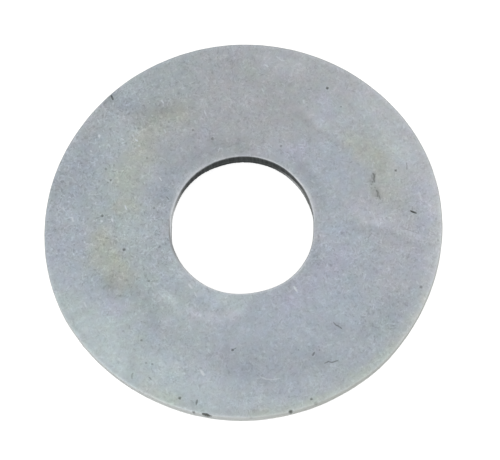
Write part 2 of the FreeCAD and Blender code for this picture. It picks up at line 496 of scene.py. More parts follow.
top_side = z > 0.3 * T
down = 0.24 * np.maximum(T - 0.16 - z, 0.0)     # a nick narrows and ends on its way down a wall
wob = Noise(29)
for m in MARKS:
    if m[0] == "pit":
        mask = np.nonzero(top_side & (np.abs(pos[:, 0] - m[1][0]) < m[2] * 2.2) & (np.abs(pos[:, 1] - m[1][1]) < m[2] * 2.2))[0]
        p = pos[mask, :2]
        v = p - m[1]
        ang = np.arctan2(v[:, 1], v[:, 0])
        k = 1 + 0.25 * wob(np.stack([np.cos(ang) + m[1][0], np.sin(ang) + m[1][1], 0 * ang], 1), 1.3)
        press(np.linalg.norm(v, axis=1) / k + down[mask], m[2], m[3], m[4], m[5], mask)
    else:
        lo, hi = m[1].min(0) - m[2] * 2.5, m[1].max(0) + m[2] * 2.5
        mask = np.nonzero(top_side & (pos[:, 0] > lo[0]) & (pos[:, 0] < hi[0]) & (pos[:, 1] > lo[1]) & (pos[:, 1] < hi[1]))[0]
        p = pos[mask, :2]
        d = np.full(len(p), 9e9)
        along = np.zeros(len(p))
        total = len(m[1]) - 1
        for k, (a, b) in enumerate(zip(m[1][:-1], m[1][1:])):
            dk, tk = near_line(p, a, b)
            along = np.where(dk < d, (k + tk) / total, along)
            d = np.minimum(d, dk)
        thin = 0.55 + 0.45 * np.sin(math.pi * np.clip(along, 0.02, 0.98)) ** 0.5
        press(d / thin + down[mask], m[2], m[3], m[4], m[5], mask)
for side, a, b, w, dep, kind in lines:
    ok = top_side if side == "top" else (z < 0.3 * T)
    lo, hi = np.minimum(a, b) - 2.5 * w, np.maximum(a, b) + 2.5 * w
    mask = np.nonzero(ok & (pos[:, 0] > lo[0]) & (pos[:, 0] < hi[0]) & (pos[:, 1] > lo[1]) & (pos[:, 1] < hi[1]))[0]
    d, t = near_line(pos[mask, :2], a, b)
    thin = 0.5 + 0.5 * np.sin(math.pi * np.clip(t, 0.02, 0.98)) ** 0.5
    dk = 0.5 if (kind > 0.6 and side == "under") else (0.3 if kind > 0.75 else 0.0)
    press(d / thin, w, dep, dk, 0.5 if dk == 0 else 0.0, mask)

out = pos + nrm * push[:, None]
rr = np.hypot(out[:, 0], out[:, 1])
lim = np.minimum(1.0, RO / np.maximum(rr, 1e-6))
out[:, 0] *= lim
out[:, 1] *= lim
out[:, 2] = np.clip(out[:, 2], 0.0, T)

# ------------------------------------------------------------------ stains of the passivate, brushed on
# with lighter and darker tones; those along the outline on the right and near side are painted highlight
# Colour of the stain: how much more or less red, green and blue than plain zinc it sends back.
STAIN = {
    "brown": (0.030, -0.010, -0.026), "straw": (0.034, 0.008, -0.150), "olive": (-0.012, 0.024, -0.110), "green": (-0.032, 0.019, -0.016),
    "blue": (-0.030, 0.000, 0.062), "violet": (0.013, -0.027, 0.076), "pink": (0.034, -0.022, 0.020), "cyan": (-0.048, 0.012, 0.040),
    "slate": (-0.016, 0.000, 0.022), "orange": (0.046, -0.008, -0.095), "plain": (0.0, 0.0, 0.0),
}
# kind, half width in pixels, strength, then the stroke's points in pixels; later strokes lie over earlier ones
STROKES = [
    ("brown", 62, 0.9, (205, 88), (255, 80), (310, 82)), ("brown", 34, 0.8, (270, 120), (235, 130)), ("brown", 32, 0.8, (345, 88), (392, 120), (425, 165), (436, 215), (437, 270)), ("green", 24, 0.6, (142, 90), (165, 82), (180, 74)), ("green", 24, 0.7, (112, 135), (108, 165), (118, 195)),
    ("brown", 9, 0.6, (76, 142), (95, 118), (108, 104)), ("blue", 22, 0.75, (84, 160), (78, 190), (68, 235), (66, 262)), ("slate", 14, 0.7, (72, 150), (58, 190), (54, 225)), ("blue", 18, 0.5, (66, 276), (80, 296), (100, 304)), ("green", 26, 0.9, (64, 306), (86, 336), (112, 362)),
    ("olive", 34, 0.26, (80, 322), (120, 366), (180, 394)), ("green", 24, 0.7, (104, 205), (128, 220), (142, 240), (140, 262)), ("slate", 20, 0.7, (160, 200), (158, 230), (165, 262)), ("green", 46, 1.0, (112, 335), (150, 365), (200, 388)), ("green", 26, 0.8, (150, 285), (172, 305), (205, 322)),
    ("green", 14, 0.8, (222, 305), (246, 304)), ("slate", 44, 1.0, (225, 365), (290, 365), (345, 345)), ("blue", 26, 0.3, (250, 340), (300, 345)), ("blue", 34, 0.75, (262, 318), (300, 318), (345, 305)), ("slate", 40, 0.8, (372, 235), (378, 275), (390, 305)),
    ("blue", 20, 0.8, (326, 160), (333, 178), (334, 205)), ("slate", 18, 0.8, (312, 165), (318, 195)), ("slate", 16, 0.7, (335, 215), (338, 235)), ("blue", 17, 0.8, (335, 232), (328, 262), (345, 300)), ("violet", 13, 0.75, (340, 256), (326, 268), (305, 287), (286, 300)),
    ("brown", 10, 0.7, (317, 212), (316, 235)), ("brown", 22, 0.7, (372, 205), (392, 225), (402, 240)), ("pink", 12, 0.7, (356, 202), (374, 212), (392, 238)), ("pink", 12, 0.8, (392, 254), (388, 272), (394, 286)), ("violet", 9, 0.55, (421, 190), (424, 215), (418, 250), (417, 270)),
    ("straw", 15, 0.72, (178, 113), (162, 119), (147, 130), (141, 148)), ("straw", 14, 0.62, (136, 162), (130, 176), (126, 188)), ("olive", 10, 0.6, (116, 168), (128, 178)), ("straw", 9, 0.75, (122, 207), (132, 208)), ("green", 12, 0.6, (122, 222), (118, 232)),
    ("straw", 14, 1.0, (105, 238), (106, 250), (113, 264), (118, 275)), ("olive", 10, 0.7, (98, 248), (100, 262), (106, 272)), ("green", 10, 0.5, (112, 228), (114, 242)), ("blue", 10, 0.5, (60, 272), (90, 284)), ("orange", 7, 0.6, (113, 272), (117, 281)),
    ("straw", 10, 0.5, (98, 238), (96, 262)), ("blue", 10, 0.55, (78, 278), (96, 292), (116, 302)), ("green", 11, 0.3, (386, 132), (396, 146), (402, 156)), ("straw", 11, 0.7, (354, 142), (366, 150), (375, 161)), ("straw", 13, 0.55, (380, 166), (389, 180), (392, 194)),
    ("olive", 11, 0.3, (362, 134), (384, 148)), ("orange", 5, 0.5, (373.8, 174), (374.4, 182)), ("orange", 5, 0.55, (377, 190), (380, 199)), ("violet", 9, 0.7, (326, 100), (329, 116)), ("violet", 11, 0.6, (286, 152), (296, 150), (302, 160)),
    ("violet", 10, 0.3, (206, 134), (202, 148), (190, 160)), ("blue", 9, 0.7, (176, 172), (168, 182), (162, 196)), ("olive", 6, 0.5, (247, 66), (252, 78)), ("blue", 9, 0.55, (116, 110), (132, 104)), ("pink", 7, 0.5, (128, 122), (124, 118)),
    ("blue", 8, 0.7, (168, 283), (165, 278)), ("blue", 9, 0.7, (200, 302), (214, 304)), ("blue", 10, 0.6, (148, 326), (152, 334)), ("blue", 10, 0.45, (160, 350), (166, 358)), ("blue", 9, 0.6, (214, 330), (220, 336)),
    ("pink", 7, 0.6, (192, 316), (205, 316), (214, 317)), ("pink", 6, 0.6, (230, 315), (235, 315)), ("pink", 7, 0.5, (167, 330), (165, 326)), ("pink", 8, 0.5, (222, 352), (226, 360)), ("blue", 10, 0.7, (236, 382), (250, 374)),
    ("blue", 10, 0.6, (284, 382), (296, 384)), ("green", 10, 0.7, (386, 325), (384, 332)), ("violet", 9, 0.5, (110, 308), (118, 306)), ("slate", 8, 0.6, (364, 172), (360, 178)), ("green", 10, 0.45, (338, 106), (366, 116)),
    ("olive", 8, 0.14, (430, 290), (408, 332), (378, 362), (340, 388), (300, 402), (250, 409)), ("orange", 8, 1.0, (427, 302), (413, 332), (396, 352)), ("olive", 8, 0.7, (394, 350), (372, 370), (350, 384)), ("olive", 7, 0.6, (362, 374), (350, 384)), ("olive", 5, 0.8, (340, 392), (310, 404), (280, 412), (255, 416)),
    ("olive", 7, 0.8, (176, 402), (158, 397), (146, 388)), ("orange", 5, 0.5, (152, 394), (146, 390)), ("green", 9, 0.5, (235, 406), (205, 402)), ("green", 8, 0.7, (226, 301), (250, 302)),
]
# lighter (+) and darker (-) areas: half width in pixels, how much in hundredths, then the stroke's points; these add up
# the light bands just inside the outline, on the right and along the near side, are painted highlight of the rim
TONES = [
    (36, -5.5, (165, 92), (205, 72), (262, 72), (285, 100), (250, 128), (205, 128)), (9, -6.5, (128, 106), (134, 109)), (9, -8, (158, 106), (160, 109)), (10, -3.5, (150, 140), (166, 152)), (8, -7, (138, 119), (152, 116), (170, 110), (184, 106)),
    (9, -7, (112, 98), (120, 98)), (12, -7, (98, 126), (92, 140)), (14, -5, (84, 160), (80, 180), (82, 200)), (10, -4, (66, 170), (68, 190)), (6, -12, (104, 99), (113, 93)),
    (14, 3, (112, 134), (130, 136), (120, 150)), (10, 9, (268, 60), (284, 66), (298, 66)), (14, 3, (320, 108), (346, 120)), (18, 8.5, (370, 98), (392, 122), (400, 145)), (13, 8, (410, 152), (424, 176), (434, 206)),
    (9, 5, (392, 165), (400, 190)), (9, 9, (434, 205), (439, 235)), (2.6, -7, (296, 113), (314, 127), (330, 140), (341, 147)), (4.5, 5.5, (303, 106), (322, 124), (340, 139), (351, 143)), (2.8, -15, (373.8, 174), (374.2, 182)),
    (2.7, -13, (377.2, 190), (379.2, 198)), (2.2, -7, (374, 184), (377, 192)), (9, 8, (357, 206), (369, 213), (386, 220)), (2.4, 10, (360, 220), (372, 221), (392, 227), (410, 234), (424, 239)), (3.0, -6, (352, 229), (368, 228), (392, 233), (416, 241)),
    (8, -6, (316, 245), (314, 262)), (9, -8.5, (161, 212), (163, 194), (174, 173), (194, 157), (222, 147), (246, 147)), (6, -6, (212, 138), (214, 139)), (7, 3, (255, 142), (275, 138)), (9, 8, (131, 226), (139, 233)),
    (6, 7, (70, 217), (76, 219)), (8, -6.5, (97, 279), (110, 286), (124, 291), (134, 292)), (5, -6, (108, 282), (113, 286)), (20, 8, (62, 290), (78, 318), (104, 352)), (24, 9.5, (112, 326), (128, 360), (172, 378), (205, 384)),
    (9, 6, (158, 366), (170, 370)), (6, -6, (134, 372), (132, 376)), (6, -6, (147, 305), (152, 317), (157, 329)), (5.5, 12, (162, 297), (176, 308), (196, 316), (220, 319), (238, 313)), (7, 4, (170, 316), (205, 328)),
    (10, 6, (212, 302), (240, 303)), (4, 5, (238, 330), (242, 330)), (14, -5.6, (218, 366), (240, 370), (270, 371), (298, 370), (316, 366)), (10, -4, (222, 362), (250, 370)), (12, -3.5, (228, 354), (290, 354), (325, 350)),
    (4, -5, (228, 349), (235, 349)), (11, -5.5, (368, 332), (384, 322), (396, 304)), (5, -8, (334, 323), (341, 328)), (4, -6, (262, 379), (266, 381)), (8, 8, (236, 402), (262, 405), (322, 402), (372, 374), (404, 342)),
    (10, 9, (438, 245), (432, 285), (418, 318)), (5, -8, (304, 166), (316, 184), (322, 204)), (9, -4, (280, 284), (300, 278)), (10, 3, (330, 300), (344, 318)), (5, 7, (175, 264), (187, 279), (203, 290), (222, 297), (244, 300)),
    (9, 5.5, (118, 364), (158, 391), (206, 407)), (9, 4, (196, 384), (236, 388)), (10, 3, (290, 387), (326, 382)), (5, -7, (178, 397), (181, 399)), (5.5, 4.5, (66, 295), (80, 322), (98, 348), (121, 371), (149, 389), (179, 402)),
    (6, 4, (211, 405), (243, 408)), (7, -5, (292, 160), (304, 176)), (9, -4, (152, 158), (174, 160)), (7, 5, (188, 290), (212, 298)), (5, 5, (162, 212), (163, 234)),
    (12, 2, (264, 362), (300, 378)), (8, 3, (326, 230), (330, 250)), (5, -9, (194, 402), (198, 404)), (7, -6, (55, 183), (52, 192)),
]


def image_turn(deg):
    """A direction in the image, clockwise from right, as a direction on the top face."""
    a = math.radians(deg)
    v = on_top(243 + 10 * math.cos(a), 232 + 10 * math.sin(a)) - on_top(243, 232)
    return v / np.linalg.norm(v)


def drift(scale, reach, off):
    """A smooth sideways wander of the places where the strokes land, so that their borders are not even."""
    a = n_warp(np.stack([out[:, 0] + off, out[:, 1], side_z + off], 1), scale)
    b = n_warp(np.stack([out[:, 1], out[:, 0] - off, side_z - off], 1), scale)
    return reach * np.stack([a, b], 1)


up_face = np.nonzero((nz > -0.2) & (z > 0.3 * T))[0]
down_face = np.nonzero(~((nz > -0.2) & (z > 0.3 * T)))[0]
flow = out[:, :2] + drift(0.5, 0.30, 3.1) + drift(1.6, 0.20, 9.7) + drift(4.5, 0.09, 15.3)
stain = np.zeros((len(pos), 3))
tone = np.zeros(len(pos))
PX = 15.0 / 198.9          # millimetres to a pixel at the top face


def near_path(p, path):
    d = np.full(len(p), 9e9)
    for a, b in zip(path[:-1], path[1:]):
        d = np.minimum(d, near_line(p, a, b)[0])
    return d


def brush(mask, path, half, strength):
    d = near_path(flow[mask], path) / half
    return strength * np.exp(-0.9 * np.abs(d) ** 2.4)


for kind, half, k, *pts in STROKES:
    w = brush(up_face, [on_top(*p) for p in pts], half * PX, k)[:, None]
    stain[up_face] = stain[up_face] * (1 - w) + w * 0.9 * np.array(STAIN[kind])
for half, k, *pts in TONES:
    tone[up_face] += brush(up_face, [on_top(*p) for p in pts], half * PX, k * 0.0118)
# the hidden face is stained the same way, by chance
rs = np.random.RandomState(23)
for n in range(80):
    a, rad = rs.uniform(0, 2 * math.pi), math.sqrt(rs.uniform(RI ** 2, RO ** 2))
    path = [np.array([rad * math.cos(a), rad * math.sin(a)])]
    d = rs.uniform(0, 2 * math.pi)
    for _ in range(rs.randint(1, 4)):
        d += rs.uniform(-0.7, 0.7)
        path.append(path[-1] + rs.uniform(0.6, 2.6) * np.array([math.cos(d), math.sin(d)]))
    kind = ("brown", "straw", "olive", "green", "blue", "violet", "pink", "cyan", "slate")[rs.choice(9, p=[0.17, 0.12, 0.06, 0.15, 0.15, 0.08, 0.06, 0.06, 0.15])]
    w = brush(down_face, path, rs.uniform(0.7, 3.4 - 0.025 * n), rs.uniform(0.5, 0.95))[:, None]
    stain[down_face] = stain[down_face] * (1 - w) + w * np.array(STAIN[kind])
    tone[down_face] += brush(down_face, [p + rs.uniform(-3, 3, 2) for p in path], rs.uniform(0.35, 2.2), rs.choice([-1, 1]) * rs.uniform(3, 9) * 0.0129)
tint = (1 + stain) * (1 + tone[:, None]) - 1
# how busy the fine grain is: strongest on one side of the ring, calm in places
busy = 0.92 + 0.20 * n_warp(np.stack([out[:, 0], out[:, 1], side_z + 55.5], 1), 0.22) + 0.22 * n_warp(np.stack([out[:, 0], out[:, 1], side_z + 77.7], 1), 0.7)
for half, k, *pts in ((45, 0.42, (90, 130), (75, 180), (90, 235), (140, 240)), (30, 0.24, (130, 100), (200, 130)), (12, 0.35, (166, 190), (160, 240), (170, 270)), (30, 0.10, (405, 170), (418, 225)), (26, 0.24, (345, 265), (366, 290), (375, 320)), (34, -0.20, (250, 325), (330, 345)), (24, -0.18, (330, 160), (345, 200)), (30, -0.20, (280, 60), (300, 110)), (26, -0.20, (340, 110), (392, 145)), (30, -0.26, (88, 330), (130, 372), (190, 396))):
    busy[up_face] += brush(up_face, [on_top(*p) for p in pts], half * PX, k)

# ------------------------------------------------------------------ make the mesh
me = bpy.data.meshes.new("flat_washer_detail")
me.vertices.add(len(out))
me.vertices.foreach_set("co", (out * MM).astype(np.float32).ravel())
me.loops.add(len(loops))
me.loops.foreach_set("vertex_index", loops.astype(np.int32))
me.polygons.add(len(sizes))
starts = np.concatenate([[0], np.cumsum(sizes)[:-1]])
me.polygons.foreach_set("loop_start", starts.astype(np.int32))
me.polygons.foreach_set("loop_total", sizes.astype(np.int32))
me.polygons.foreach_set("use_smooth", np.ones(len(sizes), bool))
me.update(calc_edges=True)
if me.validate(verbose=False):
    print("the mesh needed repair")


def point_value(name, values):
    at = me.attributes.new(name, "FLOAT", "POINT")
    at.data.foreach_set("value", np.asarray(values, np.float32))


# the shoulders made lighter, partly by the tumbler's wear and partly as painted highlight where they face the light,
# more on some sides than on others
t_roll = np.where(seg == 7, row - row_start[7], np.where(seg == 1, row_start[2] - row, 0.0)) / np.where(seg == 7, SEGMENTS[7][1], SEGMENTS[1][1])
in_d = np.hypot(pos[:, 0], pos[:, 1]) - RI
out_d = RO - np.hypot(pos[:, 0], pos[:, 1])
on_upper = np.where(z > 0.3 * T, 1.0, 0.0)
az = np.arctan2(pos[:, 1], pos[:, 0])
rim_lit_side = 0.20 + 0.26 * np.cos(az - seen_at(20)) + 0.25 * ring_noise(n_edge, th, 12, 61.0)
rim_wear_and_highlight = on_upper * np.clip(rim_lit_side, 0.0, 1.0) * np.exp(-(np.maximum(out_d - 0.10, 0) / 0.45) ** 2) * (nr >= 0)
lip_highlight_amount = 0.34 + humps(th, (329, 16, 1.1), (345, 10, 0.1), (184, 10, 0.9), (334, 9, 0.35), (15, 20, -0.20), (50, 30, 0.15), (90, 30, 0.25), (150, 30, 0.30), (215, 26, 0.20), (262, 20, -0.05)) + 0.22 * ring_noise(n_edge, th, 22, 71.0) + 0.15 * ring_noise(n_edge, th, 60, 73.0)
lip = on_upper * (seg == 7) * np.sin(math.pi * np.clip(t_roll * 0.85 + 0.1, 0, 1)) * np.clip(lip_highlight_amount, 0.05, 1)
lip += on_upper * (seg == 0) * (0.12 + humps(th, (333, 10, 0.6))) * np.exp(-((row - row_start[0]) / 0.7) ** 2) * np.clip(lip_highlight_amount, 0.05, 1)
point_value("rim_wear_and_highlight", rim_wear_and_highlight)
point_value("lip", lip)
# painted light: the outer wall and its torn band made lighter on the side of the ring that faces the light
painted_lit_side = np.clip(rim_humps(th, (118, 26, 1.0), (150, 22, 0.9), (88, 14, 0.6)), 0, 1)
# painted shade: darker along the foot of the outer wall, next to the floor, less on the lit side
point_value("painted_foot_shade", np.where(nr > 0, smooth(0.16, 0.03, z), 0.0) * (1 - 0.75 * painted_lit_side))
point_value("busy", np.clip(busy, 0.4, 1.6))
point_value("dirt", dirt)
point_value("bright_wear_and_glint", bright_wear_and_glint)
point_value("outer_edge", np.clip(wall_out, 0, 1))
point_value("bore_wall", np.clip(wall_in, 0, 1))
point_value("torn", np.clip(torn, 0, 1))
point_value("painted_lit_side", painted_lit_side)
# a thin dark line along the hole's shoulder on its left side
from_hole = np.hypot(pos[:, 0], pos[:, 1]) - (RI - hole_sway(th)[0])
point_value("shade", on_upper * np.exp(-((from_hole - 0.090 - humps(th, (183, 9, 0.055))) / 0.062) ** 2) * np.clip(humps(th, (166, 19, 1.2)), 0, 1))
# painted shade: the bore wall darker on its far side, the side seen at the top of the hole
away = np.abs((th - seen_at(270, True) + math.pi) % (2 * math.pi) - math.pi)
point_value("painted_bore_shade", smooth(math.radians(70), math.radians(46), away + 0.10 * ring_noise(n_edge, th, 14, 81.0)))
# painted highlight: the bore wall made almost white in two places where it catches light
point_value("painted_bore_highlight", humps(th, (315, 14, 0.8)) * np.clip(torn, 0, 1) + humps(th, (189, 16, 1.15)))
at = me.attributes.new("tint", "FLOAT_COLOR", "POINT")
at.data.foreach_set("color", np.concatenate([1 + tint, np.ones((len(tint), 1))], 1).astype(np.float32).ravel())

# the map that the finish is baked through: each surface is a pair of half rings, unrolled into straight strips
half = NI // 2
base_i, base_j = face_row[:, 0], face_row[:, 1] / FINE
face_seg = row_seg[np.clip(base_j.astype(int), 0, ROWS - 1)]
is_left = base_i >= half
STRIPS = []    # rows from, rows to, height in mm
top_rows = (row_start[7], row_start[8] + row_start[2])      # inner shoulder, top face, outer shoulder
strip_of_seg = {7: 0, 0: 0, 1: 0, 2: 1, 3: 1, 4: 2, 5: 3, 6: 3}
# distance along the section at the start of each base row, counted from the bore shoulder's lower end
th0 = np.zeros(ROWS + 1)
rr0, zz0, _, _, _ = section(th0, np.minimum(np.arange(ROWS + 1), ROWS - 1e-9).astype(float))
step = np.hypot(np.diff(rr0), np.diff(zz0))
order = {0: [7, 0, 1], 1: [2, 3], 2: [4], 3: [5, 6]}
row_v = np.zeros((4, ROWS + 1))
height = {}
start_v = {}
for s, segs in order.items():
    y = 0.0
    for g in segs:
        for k in range(row_start[g], row_start[g + 1]):
            start_v[k] = y
            y += step[k]
    height[s] = y
GAP = 0.006
units = 2 * (height[0] + height[1] + height[2]) + height[3]
scale = (1.0 - GAP * 8) / units
strip_y, y = {}, GAP
for s in (0, 1, 2):
    for side in (0, 1):
        strip_y[s, side] = y
        y += height[s] * scale + GAP
strip_y[3, 0] = strip_y[3, 1] = y
face_id = np.repeat(np.arange(len(sizes)), sizes)
f_row = np.clip(base_j.astype(int), 0, ROWS - 1)[face_id]
f_strip = np.array([strip_of_seg[g] for g in range(8)])[face_seg][face_id]
f_side = is_left.astype(int)[face_id]
sv = np.array([start_v[k] for k in range(ROWS)])
lj = loop_j / FINE
v_mm = sv[f_row] + (lj - f_row) * step[f_row]
y0 = np.array([[strip_y[s, d] for d in (0, 1)] for s in range(4)])[f_strip, f_side]
v = y0 + v_mm * scale
u = (loop_i - f_side * half) / half
u = np.where(f_strip == 3, np.where(f_side == 0, GAP + u * (0.5 - 1.5 * GAP), 0.5 + GAP / 2 + u * (0.5 - 1.5 * GAP)), GAP + u * (1 - 2 * GAP))
uv = me.uv_layers.new(name="OFBake")
uv.data.foreach_set("uv", np.stack([u, v], 1).astype(np.float32).ravel())

washer = bpy.data.objects.new("flat_washer_detail", me)
bpy.context.scene.collection.objects.link(washer)

# ------------------------------------------------------------------ finish


class Tree:
    def __init__(self, tree):
        self.t = tree
        tree.nodes.clear()

    def add(self, kind, **kw):
        n = self.t.nodes.new(kind)
        for k, val in kw.items():
            setattr(n, k, val)
        return n

    def put(self, sock, val):
        if isinstance(val, bpy.types.NodeSocket):
            self.t.links.new(val, sock)
        elif val is not None:
            sock.default_value = val

    def math(self, op, a, b=None, c=None, clamp=False):
        n = self.add("ShaderNodeMath", operation=op, use_clamp=clamp)
        for s, val in zip(n.inputs, (a, b, c)):
            self.put(s, val)
        return n.outputs[0]

    def vec(self, op, a, b=None, scale=None):
        n = self.add("ShaderNodeVectorMath", operation=op)
        self.put(n.inputs[0], a)
        if b is not None:
            self.put(n.inputs[1], b)
        if scale is not None:
            self.put(n.inputs["Scale"], scale)
        return n.outputs[0]

    def noise(self, vec, scale, detail=2.0, rough=0.5, distort=0.0, color=False):
        n = self.add("ShaderNodeTexNoise")
        self.put(n.inputs["Vector"], vec)
        n.inputs["Scale"].default_value = scale
        n.inputs["Detail"].default_value = detail
        n.inputs["Roughness"].default_value = rough
        n.inputs["Distortion"].default_value = distort
        return n.outputs["Color" if color else "Fac"]

    def ramp(self, val, a, b, lo=0.0, hi=1.0):
        n = self.add("ShaderNodeMapRange", interpolation_type="SMOOTHSTEP")
        self.put(n.inputs["Value"], val)
        for k, x in zip(("From Min", "From Max", "To Min", "To Max"), (a, b, lo, hi)):
            n.inputs[k].default_value = x
        return n.outputs[0]

    def mix(self, fac, a, b, mode="MIX"):
        n = self.add("ShaderNodeMix", data_type="RGBA", blend_type=mode)
        self.put(n.inputs[0], fac)
        self.put(n.inputs[6], a)
        self.put(n.inputs[7], b)
        return n.outputs[2]

    def attr(self, name, out="Fac"):
        n = self.add("ShaderNodeAttribute", attribute_name=name)
        return n.outputs[out]


mat = bpy.data.materials.new("zinc_plated_steel")
mat.use_nodes = True
t = Tree(mat.node_tree)
mm = t.vec("SCALE", t.add("ShaderNodeTexCoord").outputs["Object"], scale=1000.0)

dirt_a, bright_wear_and_glint_a = t.attr("dirt"), t.attr("bright_wear_and_glint")
outer_a, bore_a, torn_a = t.attr("outer_edge"), t.attr("bore_wall"), t.attr("torn")
tint_a = t.attr("tint", "Color")

# curled wrinkles of the tumbled plating, a few tenths of a millimetre long, light ones and dark ones
bend = t.vec("SCALE", t.vec("SUBTRACT", t.noise(mm, 1.7, 1.0, color=True), (0.5, 0.5, 0.5)), scale=0.7)
bent = t.vec("MULTIPLY", t.vec("ADD", mm, bend), (1.12, 0.86, 1.0))
n_a = t.noise(bent, 3.2, 0.6)
n_b = t.noise(t.vec("ADD", bent, (31.0, 17.0, 5.0)), 3.6, 0.6)
curl_a = t.ramp(t.math("ABSOLUTE", t.math("SUBTRACT", n_a, 0.5)), 0.0, 0.085, 1.0, 0.0)
curl_b = t.ramp(t.math("ABSOLUTE", t.math("SUBTRACT", n_b, 0.52)), 0.0, 0.085, 1.0, 0.0)
keep_a = t.ramp(t.noise(mm, 2.3, 1.0), 0.50, 0.60)
keep_b = t.ramp(t.noise(t.vec("ADD", mm, (7.0, 3.0, 1.0)), 2.5, 1.0), 0.50, 0.60)
light_curl = t.math("MULTIPLY", curl_a, keep_a)
dark_curl = t.math("MULTIPLY", curl_b, keep_b)
# short flecks and specks
dots = t.noise(t.vec("ADD", bent, (3.0, 41.0, 8.0)), 5.6, 0.4)
fleck = t.ramp(dots, 0.60, 0.74)
speck = t.ramp(dots, 0.40, 0.27)
# fine grain and the mottle under it
grain = t.noise(mm, 8.0, 1.5, 0.6)
mottle = t.noise(mm, 2.4, 2.0, 0.55)
cloud = t.noise(mm, 0.8, 2.0, 0.5)
hue = t.noise(t.vec("ADD", mm, (3.0, 9.0, 27.0)), 1.2, 2.0, 0.5, color=True)
busy_a = t.attr("busy")

zinc = (0.618, 0.668, 0.713, 1.0)
col = t.mix(1.0, zinc, tint_a, "MULTIPLY")
# slow drift between greenish and violet grey
shift = t.vec("ADD", t.vec("MULTIPLY", t.vec("SUBTRACT", hue, (0.5, 0.5, 0.5)), (0.11, 0.085, 0.125)), (1.0, 1.0, 1.0))
col = t.mix(1.0, col, shift, "MULTIPLY")
fine = t.math("MULTIPLY", t.math("SUBTRACT", grain, 0.5), 0.17)
fine = t.math("ADD", fine, t.math("MULTIPLY", light_curl, 0.15))
fine = t.math("SUBTRACT", fine, t.math("MULTIPLY", dark_curl, 0.145))
fine = t.math("ADD", fine, t.math("MULTIPLY", fleck, 0.115))
fine = t.math("SUBTRACT", fine, t.math("MULTIPLY", speck, 0.105))
lum = t.math("ADD", 1.0, t.math("MULTIPLY", fine, busy_a))
lum = t.math("ADD", lum, t.math("MULTIPLY", t.math("SUBTRACT", mottle, 0.5), 0.24))
lum = t.math("ADD", lum, t.math("MULTIPLY", t.math("SUBTRACT", cloud, 0.5), 0.10))
col = t.mix(1.0, col, t.vec("SCALE", (1.0, 1.0, 1.0), scale=lum), "MULTIPLY")
# the rim and the shoulders: a little lighter and warmer, partly worn by the tumbler and partly painted highlight
rim_wear_and_highlight_a, lip_highlight_a, foot_shade_a = t.attr("rim_wear_and_highlight"), t.attr("lip"), t.attr("painted_foot_shade")
worn = t.ramp(t.noise(t.vec("ADD", mm, (5.0, 5.0, 5.0)), 3.2, 3.0, 0.6), 0.30, 0.62, 0.55, 1.0)
col = t.mix(t.math("MULTIPLY", rim_wear_and_highlight_a, t.math("MULTIPLY", worn, 0.6)), col, (0.76, 0.785, 0.765, 1.0))
# the outer wall's own colour, painted lighter on the side that faces the light
col = t.mix(t.math("MULTIPLY", t.ramp(outer_a, 0.55, 0.95), 0.8), col, t.mix(t.attr("painted_lit_side"), (0.77, 0.79, 0.755, 1.0), (0.92, 0.945, 0.935, 1.0)))
# the bore wall: dark sheared steel with drag lines; its far side made darker still with painted shade, and two places
# made lighter with painted highlight
drag = t.noise(t.vec("MULTIPLY", mm, (7.0, 7.0, 0.35)), 1.0, 2.0)
bore_col = t.mix(t.attr("painted_bore_shade"), t.mix(t.ramp(drag, 0.35, 0.7), (0.22, 0.235, 0.23, 1.0), (0.42, 0.44, 0.43, 1.0)), t.mix(t.ramp(drag, 0.35, 0.7), (0.067, 0.076, 0.077, 1.0), (0.128, 0.143, 0.146, 1.0)))
# painted highlight on the bore wall
bore_col = t.mix(t.math("MULTIPLY", t.attr("painted_bore_highlight"), 0.9, clamp=True), bore_col, (0.96, 0.98, 0.98, 1.0))
# where the land breaks off the wall is a shade lighter, in a ragged line
seam = t.math("MULTIPLY", torn_a, t.math("SUBTRACT", 1.0, torn_a))
bore_col = t.mix(t.math("MULTIPLY", seam, 2.6, clamp=True), bore_col, (0.24, 0.255, 0.24, 1.0))
col = t.mix(t.ramp(bore_a, 0.62, 0.95), col, bore_col)
# painted highlight along the hole's shoulder, broken up by the wear noise
col = t.mix(t.math("MULTIPLY", lip_highlight_a, t.math("ADD", 0.35, t.math("MULTIPLY", worn, 0.65))), col, (0.94, 0.97, 1.0, 1.0))
edge_col = t.mix(t.ramp(t.noise(mm, 3.0, 2.0), 0.35, 0.65), (0.72, 0.735, 0.69, 1.0), (0.86, 0.875, 0.83, 1.0))
# painted light: the torn band lighter on the side that faces the light
edge_col = t.mix(t.math("MULTIPLY", t.attr("painted_lit_side"), 0.6), edge_col, (0.93, 0.955, 0.94, 1.0))
col = t.mix(t.math("MULTIPLY", torn_a, t.math("SUBTRACT", 1.0, bore_a, clamp=True)), col, edge_col)
# painted shade along the foot of the outer wall
col = t.mix(t.math("MULTIPLY", foot_shade_a, t.ramp(t.noise(mm, 0.55, 2.0), 0.38, 0.6, 0.15, 0.8)), col, (0.30, 0.305, 0.27, 1.0))
col = t.mix(t.math("MULTIPLY", t.attr("shade"), 0.95), col, (0.26, 0.265, 0.26, 1.0))
# lighter scratched metal, with painted glint on flecks and around the pits
col = t.mix(bright_wear_and_glint_a, col, (0.88, 0.945, 1.0, 1.0))
col = t.mix(dirt_a, col, (0.075, 0.085, 0.070, 1.0))

rough = t.math("ADD", 0.47, t.math("MULTIPLY", t.math("SUBTRACT", mottle, 0.5), 0.25))
rough = t.math("ADD", rough, t.math("MULTIPLY", t.math("SUBTRACT", grain, 0.5), 0.18))
rough = t.math("ADD", rough, t.math("MULTIPLY", torn_a, 0.16))
rough = t.math("SUBTRACT", rough, t.math("MULTIPLY", t.math("ADD", bright_wear_and_glint_a, lip_highlight_a), 0.14))
rough = t.math("ADD", rough, t.math("MULTIPLY", dirt_a, 0.25), clamp=True)

